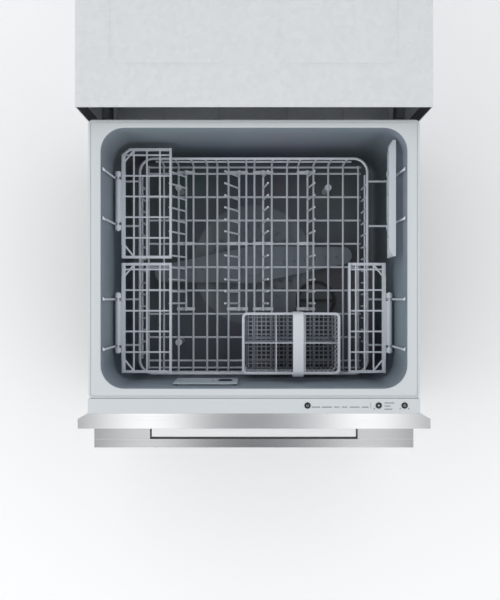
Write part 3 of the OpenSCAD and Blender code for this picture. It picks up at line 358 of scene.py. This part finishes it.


# ---- Tub --------------------------------------------------------------------------------------
# One deep injection moulding in talc-filled polypropylene, a cool blue-grey. The walls lean in so
# that it left the mould, and the rim is turned down into a skirt, with a fine groove inside its
# edge. The rim's face is a paler grey, and the walls below it are painted darker towards the floor
# as painted shade of the deep tub.

# Heights between which the painted shade of the walls fades out going up, and between which
# the rim's paler grey takes over
WALL_SHADE_DEEP_Z, WALL_SHADE_GONE_Z, WALL_END_Z, RIM_FACE_Z = 0.12, 0.372, 0.3758, 0.3772
TUB_CLOUDS_IN_A_METRE, CLOUDED = 5.0, 0.06
tub_grey = grained(plain_finish("moulded_tub_plastic_painted_shade", "#9FAAB0", 0.4), 420.0, 0.12)
tree, shader, place = laid_out(tub_grey)
height = add(tree, "ShaderNodeSeparateXYZ", {0: place}).outputs["Z"]
cloud = add(tree, "ShaderNodeTexNoise", {"Vector": place, "Scale": TUB_CLOUDS_IN_A_METRE,
                                         "Detail": 2.0})
rise = add(tree, "ShaderNodeMapRange", {"Value": height, "From Min": WALL_SHADE_DEEP_Z,
                                        "From Max": WALL_SHADE_GONE_Z}, interpolation_type="SMOOTHSTEP")
# Painted shade: the walls darken from their top down towards the tub's floor.
wall_painted_shade = add(tree, "ShaderNodeMix", {0: rise.outputs[0], 6: linear("#414D57"),
                                    7: linear("#7A8691")}, data_type="RGBA")
shade_and_mottle = add(tree, "ShaderNodeMix", {0: CLOUDED, 6: wall_painted_shade.outputs[2], 7: cloud.outputs[1]},
             data_type="RGBA")
rim = add(tree, "ShaderNodeMapRange", {"Value": height, "From Min": WALL_END_Z,
                                       "From Max": RIM_FACE_Z})
cast = add(tree, "ShaderNodeMix", {0: rim.outputs[0], 6: shade_and_mottle.outputs[2],
                                   7: linear("#C9CED0")}, data_type="RGBA")
tree.links.new(cast.outputs[2], shader.inputs["Base Color"])


def stacked(levels, segments=9, closed_top=True, closed_bottom=True):
    """A shape whose sides pass through a row of rounded rectangles, given as low, high, radius, z.

    The first rectangle is drawn and its corners are rounded, and each next level is extruded from
    the one before it and moved to its own size.
    """
    shape = bmesh.new()

    def put(v, place, level):
        low, high, radius, z = level
        at = [(low[i] + high[i]) / 2 + side * ((high[i] - low[i]) / 2 - radius) + radius * turned
              for i, (side, turned) in enumerate(place)]
        v.co = (*at, z)

    corners = [shape.verts.new((x, y, 0.0)) for x, y in ((-1, -1), (1, -1), (1, 1), (-1, 1))]
    shape.faces.new(corners)
    turn = 0.5
    bmesh.ops.bevel(shape, geom=corners, offset=turn, offset_type="OFFSET", affect="VERTICES",
                    segments=segments, profile=0.5, material=-1, clamp_overlap=False)
    ring = {}
    for v in shape.verts:
        sides = [math.copysign(1, v.co.x), math.copysign(1, v.co.y)]
        ring[v] = [(side, (v.co[i] - side * (1 - turn)) / turn) for i, side in enumerate(sides)]
    edges = list(shape.edges)
    if not closed_bottom:
        bmesh.ops.delete(shape, geom=list(shape.faces), context="FACES_ONLY")
    for v, place in ring.items():
        put(v, place, levels[0])
    for level in levels[1:]:
        made = bmesh.ops.extrude_edge_only(shape, edges=edges)["geom"]
        risen = {}
        for v in made:
            if isinstance(v, bmesh.types.BMVert):
                below = next(w for e in v.link_edges for w in e.verts if w in ring)
                risen[v] = ring[below]
                put(v, ring[below], level)
        edges = [e for e in made
                 if isinstance(e, bmesh.types.BMEdge) and all(v in risen for v in e.verts)]
        ring = risen
    if closed_top:
        bmesh.ops.contextual_create(shape, geom=edges)
    bmesh.ops.recalc_face_normals(shape, faces=shape.faces)
    return shape


tub_low, tub_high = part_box("tub")
RIM_Z, TUB_FLOOR = tub_high.z, 0.102
MOUTH_HALF, FRONT_FLANGE, BACK_FLANGE = 0.261, 0.017, 0.014
MOUTH = (-MOUTH_HALF, tub_low.y + FRONT_FLANGE), (MOUTH_HALF, tub_high.y - BACK_FLANGE)
RIM_CORNER, MOUTH_CORNER, LEAST_CORNER, CORNER_CHANGE = 0.008, 0.040, 0.003, 0.6
TUB_LEAN, TUB_WALL, FLOOR_ROUND = 0.009, 0.0035, 0.016
FLOOR_IN, FOOT_IN, FOOT_UP, WALL_MIDDLE = 0.015, 0.003, 0.006, 0.2
RIM_T, SKIRT, SKIRT_T, RIM_ROUND, RIM_EASE = 0.004, 0.012, 0.0025, 0.0018, 0.0005
GROOVE, GROOVE_WIDE, GROOVE_DEEP, GROOVE_EASE = 0.0036, 0.0016, 0.0009, 0.0002
LIP_ROUND, LIP_EASE = 0.0022, 0.0006
WALL_HEIGHTS, FLOOR_TURNS = (0.34, 0.28, 0.22, 0.16), (18, 36, 54, 72, 90)


def rim_level(inset, z):
    """A level of the rim, measured in from its outer edge."""
    return ((tub_low.x + inset, tub_low.y + inset), (tub_high.x - inset, tub_high.y - inset),
            max(RIM_CORNER - inset, LEAST_CORNER), z)


def mouth_level(inset, z):
    """A level of the walls, measured in from the edge of the mouth."""
    return ((MOUTH[0][0] + inset, MOUTH[0][1] + inset), (MOUTH[1][0] - inset, MOUTH[1][1] - inset),
            MOUTH_CORNER - inset * CORNER_CHANGE, z)


def lean(z):
    """How far the walls have come in at a height."""
    return TUB_LEAN * (RIM_Z - z) / (RIM_Z - TUB_FLOOR)


# Up the outside to the rim, over its skirt, edge and groove, round the lip, and down the inside
rows = [mouth_level(lean(TUB_FLOOR) + FLOOR_IN, TUB_FLOOR - TUB_WALL),
        mouth_level(lean(TUB_FLOOR) + FOOT_IN - TUB_WALL, TUB_FLOOR + FOOT_UP),
        mouth_level(lean(WALL_MIDDLE) - TUB_WALL, WALL_MIDDLE),
        mouth_level(-TUB_WALL, RIM_Z - RIM_T),
        rim_level(SKIRT_T, RIM_Z - RIM_T), rim_level(SKIRT_T, RIM_Z - SKIRT),
        rim_level(0.0, RIM_Z - SKIRT), rim_level(0.0, RIM_Z - RIM_ROUND),
        rim_level(RIM_EASE, RIM_Z - RIM_EASE), rim_level(RIM_ROUND, RIM_Z),
        rim_level(GROOVE, RIM_Z), rim_level(GROOVE + GROOVE_EASE, RIM_Z - GROOVE_DEEP),
        rim_level(GROOVE + GROOVE_WIDE - GROOVE_EASE, RIM_Z - GROOVE_DEEP),
        rim_level(GROOVE + GROOVE_WIDE, RIM_Z),
        mouth_level(-LIP_ROUND, RIM_Z), mouth_level(-LIP_EASE, RIM_Z - LIP_EASE),
        mouth_level(0.0, RIM_Z - LIP_ROUND)]
rows += [mouth_level(lean(z), z) for z in (*WALL_HEIGHTS, TUB_FLOOR + FLOOR_ROUND)]
rows += [mouth_level(lean(TUB_FLOOR) + FLOOR_ROUND * (1 - math.cos(a)),
                     TUB_FLOOR + FLOOR_ROUND * (1 - math.sin(a)))
         for a in (math.radians(d) for d in FLOOR_TURNS)]
settle(stacked(rows), "moulded_tub", tub_grey, "drawer", "tub_plastic", "tub")

# The shallow sump and the filter's well stand out under the tub's floor.
SUMP_TOP, SUMP_ROUND, MOUTH_MIDDLE = TUB_FLOOR - 0.0045, 0.003, (MOUTH[0][1] + MOUTH[1][1]) / 2
WELLS = [
    # middle, radius, depth
    ((0.0, MOUTH_MIDDLE), 0.1185, 0.0135),
    ((0.128, MOUTH_MIDDLE - 0.072), 0.0415, 0.0415),
]
NEAR = 1e-6
shape = bmesh.new()
for centre, radius, depth in WELLS:
    made = bmesh.ops.create_cone(shape, cap_ends=True, segments=72, radius1=radius, radius2=radius,
                                 depth=depth)["verts"]
    bmesh.ops.translate(shape, verts=made, vec=(*centre, SUMP_TOP - depth / 2))
    low_edges = [e for e in shape.edges
                 if all(abs(v.co.z - (SUMP_TOP - depth)) < NEAR for v in e.verts)]
    bmesh.ops.bevel(shape, geom=low_edges, offset=SUMP_ROUND, offset_type="OFFSET", affect="EDGES",
                    segments=3, profile=0.5, material=-1)
settle(shape, "tub_sump", tub_grey, "drawer", "tub_plastic", "tub")


# ---- Marks on the control strip ---------------------------------------------------------------
# Fine pad-printed marks between the buttons, in rows of plain strokes that spell nothing, a thin
# rule and three dots beside the buttons, and a pale icon in each button's cap: an open ring, a
# start triangle, and an open ring with a bar.
ink = plain_finish("pad_printed_ink", "#454B50", 0.5)
pale_ink = plain_finish("pale_laser_mark", "#C9CED1", 0.45)


def plate(shape, low, high):
    """Adds a box from its lowest to its highest corner."""
    made = bmesh.ops.create_cube(shape, size=1.0)["verts"]
    low, high = Vector(low), Vector(high)
    bmesh.ops.scale(shape, vec=high - low, verts=made)
    bmesh.ops.translate(shape, vec=(low + high) / 2, verts=made)


BUTTONS = {}
for name in ("cycle_button", "start_button", "power_button"):
    low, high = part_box(name)
    BUTTONS[name] = ((low.x + high.x) / 2, (low.y + high.y) / 2, high.z)
STRIP_FACE, MARK_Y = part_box("control_strip")[1].z, BUTTONS["power_button"][1]
MARK_T, MARK_SUNK = 0.00012, 0.0002
LETTER, PITCH, LOW_LETTER, TALL_LETTER = 0.0012, 0.0017, 0.0013, 0.0019
WORDS = [
    # middle and width along the strip, and height above the middle of the buttons, in mm
    (105.2, 13.0, -2.8), (123.9, 17.3, -2.8), (140.7, 7.8, -2.8), (153.7, 8.5, -2.8),
    (170.9, 17.3, -2.8), (189.0, 12.1, -2.8), (230.0, 16.8, 4.2), (227.0, 9.8, -1.1),
    (228.2, 13.3, -6.3)]
RULE_X, RULE_WIDE, RULE_LONG = 0.1985, 0.0005, 0.0105
DOTS_X, DOT_DROP, DOT_RADIUS = (0.2045, 0.2482, 0.2630), 0.0056, 0.0010
shape = bmesh.new()
for middle, width, rise in WORDS:
    letters = round(width / 1000 / PITCH)
    for k in range(letters):
        x = middle / 1000 + (k - (letters - 1) / 2) * PITCH
        y = MARK_Y + rise / 1000 - LOW_LETTER / 2
        tall = TALL_LETTER if (k + letters) % 3 == 0 else LOW_LETTER
        plate(shape, (x - LETTER / 2, y, STRIP_FACE - MARK_SUNK),
              (x + LETTER / 2, y + tall, STRIP_FACE + MARK_T))
plate(shape, (RULE_X - RULE_WIDE / 2, MARK_Y - RULE_LONG / 2, STRIP_FACE - MARK_SUNK),
      (RULE_X + RULE_WIDE / 2, MARK_Y + RULE_LONG / 2, STRIP_FACE + MARK_T))
for x in DOTS_X:
    made = bmesh.ops.create_circle(shape, cap_ends=True, segments=16, radius=DOT_RADIUS)["verts"]
    bmesh.ops.translate(shape, verts=made, vec=(x, MARK_Y - DOT_DROP, STRIP_FACE + MARK_T))
settle(shape, "strip_marks", ink, "drawer", "strip_plastic")

ICON_RISE, ICON_LINE, ICON_STEPS = 0.00015, 0.00045, 32
RINGS = {"cycle_button": (0.0018, 60), "power_button": (0.0017, 70)}  # radius, gap in degrees
TRIANGLE = ((-0.0011, -0.0016), (0.0018, 0.0), (-0.0011, 0.0016))
BAR_HALF, BAR_FROM, BAR_TO, BAR_SUNK = 0.0002, 0.0008, 0.0025, 0.0001
SQUARELY = 0.9  # how nearly a face has to point along an axis


def ring_mark(shape, centre, radius, gap):
    """Adds a flat ring that is open at the far side by a gap, in degrees."""
    start = math.radians(90 + gap / 2)
    toward = Vector((math.cos(start), math.sin(start), 0.0))
    ends = [shape.verts.new(Vector(centre) + toward * (radius + half))
            for half in (-ICON_LINE / 2, ICON_LINE / 2)]
    bmesh.ops.spin(shape, geom=[*ends, shape.edges.new(ends)], cent=centre, axis=(0, 0, 1),
                   angle=math.radians(360 - gap), steps=ICON_STEPS, use_merge=False,
                   use_duplicate=False)


for name, (x, y, z) in BUTTONS.items():
    shape = bmesh.new()
    if name in RINGS:
        ring_mark(shape, (x, y, z + ICON_RISE), *RINGS[name])
    else:
        shape.faces.new([shape.verts.new((x + dx, y + dy, z + ICON_RISE)) for dx, dy in TRIANGLE])
    if name == "power_button":
        plate(shape, (x - BAR_HALF, y + BAR_FROM, z - BAR_SUNK),
              (x + BAR_HALF, y + BAR_TO, z + ICON_RISE))
    bmesh.ops.recalc_face_normals(shape, faces=shape.faces)
    for f in shape.faces:
        if f.normal.z < -SQUARELY and f.calc_center_median().z > z:
            f.normal_flip()
    settle(shape, name.replace("button", "icon"), pale_ink, name, "button_plastic")


# ---- Cutlery basket ---------------------------------------------------------------------------
# A moulded polypropylene basket with open mesh walls and floor, so that water runs through. A
# rounded bead stiffens its rim and three bands its walls, and it hangs clear of the floor wires.
basket_grey = grained(plain_finish("basket_polypropylene", "#C4C9D0", 0.4), 500.0, 0.12)
finish_nodes(basket_grey, "cutlery_basket", "basket_divider", "basket_handle")
basket_low, basket_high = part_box("cutlery_basket")
basket_top = basket_high.z
RIM_TURN, BAND_TURN, LEAST_TURN = 0.009, 0.0105, 0.003
# Cross section of the rim's bead: how far in from the basket's side, and how far under its top
BEAD = [(0.0004, 0.005), (0.0, 0.003), (0.0004, 0.0008), (0.0016, 0.0), (0.0034, 0.0),
        (0.0046, 0.0008), (0.005, 0.003), (0.0046, 0.005)]
BAND_IN, BAND_T, LOW_BAND, MIDDLE_BAND_HALF = 0.0022, 0.0026, 0.009, 0.003
HIGH_BAND_FROM, HIGH_BAND_TO = 0.014, 0.005


def basket_level(inset, z, turn=RIM_TURN):
    """A level of the basket, measured in from its rim."""
    return ((basket_low.x + inset, basket_low.y + inset),
            (basket_high.x - inset, basket_high.y - inset), max(turn - inset, LEAST_TURN), z)


def ring_of(levels):
    """A closed ring whose cross section passes through the levels and back to the first."""
    shape = stacked(levels + [levels[0]], segments=5, closed_top=False, closed_bottom=False)
    bmesh.ops.remove_doubles(shape, verts=shape.verts, dist=NEAR)
    bmesh.ops.recalc_face_normals(shape, faces=shape.faces)
    return shape


settle(ring_of([basket_level(inset, basket_top - drop) for inset, drop in BEAD]), "basket_rim",
       basket_grey, "basket", "basket_plastic", "cutlery_basket")
basket_middle = (basket_low.z + basket_top) / 2
BASKET_BANDS = [
    # piece, lower and upper edge
    ("basket_low_band", basket_low.z, basket_low.z + LOW_BAND),
    ("basket_middle_band", basket_middle - MIDDLE_BAND_HALF, basket_middle + MIDDLE_BAND_HALF),
    ("basket_high_band", basket_top - HIGH_BAND_FROM, basket_top - HIGH_BAND_TO),
]
for name, low_z, high_z in BASKET_BANDS:
    corners = ((BAND_IN, low_z), (BAND_IN, high_z), (BAND_IN + BAND_T, high_z),
               (BAND_IN + BAND_T, low_z))
    settle(ring_of([basket_level(inset, z, BAND_TURN) for inset, z in corners]), name, basket_grey,
           "basket", "basket_plastic", "cutlery_basket")

# The mesh: upright bars in each wall, every sixth a wider post, and bars both ways in the floor
BAR, POST, BARS_ACROSS, BARS_DEEP, POST_EVERY = 0.0022, 0.004, 19, 12, 6
MESH_IN, MESH_END, MESH_TOP, WALL_BAR_UP, FLOOR_BAR_IN, CROSSING = (
    0.0024, 0.009, 0.005, 0.002, 0.001, 0.0003)
mesh_low = Vector((basket_low.x + MESH_IN, basket_low.y + MESH_IN, basket_low.z))
mesh_high = Vector((basket_high.x - MESH_IN, basket_high.y - MESH_IN, basket_top - MESH_TOP))


def spread(low, high, count):
    """Places of a row of bars between two walls."""
    return [low + MESH_END + i * (high - low - 2 * MESH_END) / (count - 1) for i in range(count)]


shape = bmesh.new()
for i, x in enumerate(spread(mesh_low.x, mesh_high.x, BARS_ACROSS)):
    wide = BAR if i % POST_EVERY else POST
    for y in (mesh_low.y, mesh_high.y - BAR):
        plate(shape, (x - wide / 2, y, mesh_low.z + WALL_BAR_UP),
              (x + wide / 2, y + BAR, mesh_high.z))
    plate(shape, (x - BAR / 2, mesh_low.y + FLOOR_BAR_IN, mesh_low.z),
          (x + BAR / 2, mesh_high.y - FLOOR_BAR_IN, mesh_low.z + BAR))
for y in spread(mesh_low.y, mesh_high.y, BARS_DEEP):
    for x in (mesh_low.x, mesh_high.x - BAR):
        plate(shape, (x, y - BAR / 2, mesh_low.z + WALL_BAR_UP),
              (x + BAR, y + BAR / 2, mesh_high.z))
    plate(shape, (mesh_low.x + FLOOR_BAR_IN, y - BAR / 2, mesh_low.z + CROSSING),
          (mesh_high.x - FLOOR_BAR_IN, y + BAR / 2, mesh_low.z + CROSSING + BAR))
settle(shape, "basket_mesh", basket_grey, "basket", "basket_plastic", "cutlery_basket")


# ---- Basket handle ----------------------------------------------------------------------------
# One flat bow of polypropylene that springs over the basket from side to side. Its two upper
# turns are round, and the mould left its edges soft.
BOW_T, BOW_TURN, BOW_EDGE, SQUARE_EDGE = 0.0035, 0.012, 0.0009, 1.0
grip_grey = grained(plain_finish("basket_bow_polypropylene", "#CBCFD5", 0.38), 450.0, 0.12)
grip_low, grip_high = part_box("basket_handle")
shape = bmesh.new()
plate(shape, grip_low, grip_high)
upper_turns = [e for e in shape.edges if abs((e.verts[0].co - e.verts[1].co).x) > NEAR
               and e.verts[0].co.z > grip_high.z - NEAR]
bmesh.ops.bevel(shape, geom=upper_turns, offset=BOW_TURN, offset_type="OFFSET", affect="EDGES",
                segments=8, profile=0.5, material=-1)
open_sides = [f for f in shape.faces if f.normal.z < -SQUARELY or abs(f.normal.x) > SQUARELY]
bmesh.ops.delete(shape, geom=open_sides, context="FACES")
bmesh.ops.solidify(shape, geom=list(shape.faces), thickness=BOW_T)
bmesh.ops.recalc_face_normals(shape, faces=shape.faces)
square = [e for e in shape.edges if len(e.link_faces) == 2 and e.calc_face_angle(0) > SQUARE_EDGE]
bmesh.ops.bevel(shape, geom=square, offset=BOW_EDGE, offset_type="OFFSET", affect="EDGES",
                segments=3, profile=0.5, material=-1)
settle(shape, "basket_bow", grip_grey, "basket", "basket_plastic", "basket_handle")


# ---- Dispenser, spray arm and lid actuators ---------------------------------------------------
# Mouldings whose edges the mould left with a small radius: the detergent dispenser on the tub's
# front wall with its door, the spray arm, and the boxes at the sides that move the lid.
stand_in("dispenser_housing", 0.0010, "moulded_dispenser", lid_grey, "drawer", "tub_plastic")
stand_in("detergent_door", 0.0006, "moulded_detergent_door", lid_grey, "detergent_door",
         "tub_plastic", segments=2)
stand_in("spray_arm", 0.0010, "moulded_spray_arm", spray_grey, "spray_arm", "spray_plastic")
for name in ("left_lid_actuator", "right_lid_actuator"):
    stand_in(name, 0.0012, "moulded_" + name, dark, "chassis", "dark_plastic")


# ---- Beads and painted slot shade of the handle -----------------------------------------------
# The folded bar of the handle meets its two returns in a thin bead of the paler panel steel, a
# painted highlight along the bar's rounded edge. A strip of the dark plastic lines the three inner
# faces of the slot as painted shade, where the folded sheet leaves them in shadow.
SLOT_HALF, BAR_DEEP = 0.1825, 0.015
BEAD_RADIUS, BEAD_END, BEAD_SUNK = 0.0007, 0.001, 0.0003
SLOT_SHADE_T, SLOT_SHADE_DEPTH, SLOT_SHADE_DROP, SLOT_SHADE_BACK = 0.0010, 0.0165, 0.0012, 0.0005
handle_low, handle_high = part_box("handle")
slot_y = handle_low.y + BAR_DEEP
# Painted highlight: a thin bead of the paler panel steel along each end of the bar's edge.
for side, x0, x1 in (("left", handle_low.x + BEAD_END, -SLOT_HALF),
                     ("right", SLOT_HALF, handle_high.x - BEAD_END)):
    shape = bmesh.new()
    bmesh.ops.create_cone(shape, cap_ends=True, segments=16, radius1=BEAD_RADIUS,
                          radius2=BEAD_RADIUS, depth=x1 - x0)
    bmesh.ops.rotate(shape, verts=shape.verts, cent=(0, 0, 0),
                     matrix=Matrix.Rotation(math.pi / 2, 3, "Y"))
    bmesh.ops.translate(shape, verts=shape.verts,
                        vec=((x0 + x1) / 2, slot_y, handle_high.z - BEAD_SUNK))
    settle(shape, side + "_handle_highlight_bead", steel, "drawer", "brushed_steel")

# Painted shade: a dark strip on the slot's three inner faces, where they lie in shadow.
slot_shade_top, slot_shade_back = handle_high.z - SLOT_SHADE_DROP, handle_high.y - SLOT_SHADE_BACK
shape = bmesh.new()
for x0, x1, y0, y1 in ((-SLOT_HALF, SLOT_HALF, slot_y, slot_y + SLOT_SHADE_T),
                       (-SLOT_HALF, SLOT_SHADE_T - SLOT_HALF, slot_y + SLOT_SHADE_T, slot_shade_back),
                       (SLOT_HALF - SLOT_SHADE_T, SLOT_HALF, slot_y + SLOT_SHADE_T, slot_shade_back)):
    plate(shape, (x0, y0, slot_shade_top - SLOT_SHADE_DEPTH), (x1, y1, slot_shade_top))
settle(shape, "slot_painted_shade", dark, "drawer", "dark_plastic")


# ---- Corners of the cup racks -----------------------------------------------------------------
# The frame of each cup rack runs on nearly square to its hinge edge at both ends. At the rear ends
# the corner stays cut a little, to pass the rounded corners of the tub as the rack folds up.
HINGE_X, HINGE_Z, REAR_Y, FRONT_Y, FOLDED_UP = 0.2484, 0.275, -0.4205, -0.6305, 88
RACK_LENGTH, CORNER_LENGTH, CORNER_WIDTH, REAR_CUT, CUT_SLANT = 0.202, 0.0245, 0.0268, 0.010, 0.6
EDGE_IN, EDGE_WIDE, EDGE_THICK, END_WIDE, END_THICK = 0.0063, 0.007, 0.005, 0.005, 0.004
LAP, BRACE_LAP, BRACE_IN, CORNER_EASE = 0.0002, 0.001, 0.0006, 0.0008
CUP_RACKS = [
    # rack, side of the tub, middle of its hinge, how far it is folded up, cut at its rear end
    ("cup_rack_rear_left", -1, REAR_Y, 0, REAR_CUT),
    ("cup_rack_front_left", -1, FRONT_Y, 0, 0),
    ("cup_rack_rear_right", 1, REAR_Y, FOLDED_UP, REAR_CUT),
    ("cup_rack_front_right", 1, FRONT_Y, 0, 0),
]


def corner_bars(cut):
    """Bars of one corner: from, to, width, top and bottom, from the hinge and the rack's end."""
    edge_middle, end_middle = EDGE_IN + EDGE_WIDE / 2, END_WIDE / 2
    edge_side, end_top = EDGE_IN + EDGE_WIDE + cut * CUT_SLANT, END_THICK - EDGE_THICK
    bars = [((edge_middle, cut), (edge_middle, CORNER_LENGTH), EDGE_WIDE, 0, -EDGE_THICK),
            ((edge_side - LAP, end_middle), (CORNER_WIDTH, end_middle), END_WIDE, end_top,
             -EDGE_THICK)]
    if cut:
        bars.append(((edge_middle, cut + BRACE_LAP), (edge_side + BRACE_LAP, end_middle + BRACE_IN),
                     END_WIDE - BRACE_LAP, end_top - LAP, LAP - EDGE_THICK))
    return bars


for name, side, hinge_y, turned, rear_cut in CUP_RACKS:
    shape = bmesh.new()
    for end, cut in ((-1, 0), (1, rear_cut)):
        for start, stop, wide, top, low in corner_bars(cut):
            along = Vector(stop) - Vector(start)
            middle = (Vector(start) + Vector(stop)) / 2
            made = bmesh.ops.create_cube(shape, size=1.0)["verts"]
            bmesh.ops.scale(shape, verts=made, vec=(along.length, wide, top - low))
            slant = math.atan2(-end * along.y, -side * along.x)
            bmesh.ops.rotate(shape, verts=made, cent=(0, 0, 0),
                             matrix=Matrix.Rotation(slant, 3, "Z"))
            bmesh.ops.translate(shape, verts=made,
                                vec=(-side * middle.x, end * (RACK_LENGTH / 2 - middle.y),
                                     (top + low) / 2))
    bmesh.ops.bevel(shape, geom=shape.edges[:], offset=CORNER_EASE, offset_type="OFFSET",
                    affect="EDGES", segments=2, profile=0.5, material=-1, clamp_overlap=True)
    bmesh.ops.rotate(shape, verts=shape.verts, cent=(0, 0, 0),
                     matrix=Matrix.Rotation(math.radians(side * turned), 3, "Y"))
    bmesh.ops.translate(shape, verts=shape.verts, vec=(side * HINGE_X, hinge_y, HINGE_Z))
    settle(shape, name + "_corners", cup_grey, name, "wire_coating", smooth=30.0)
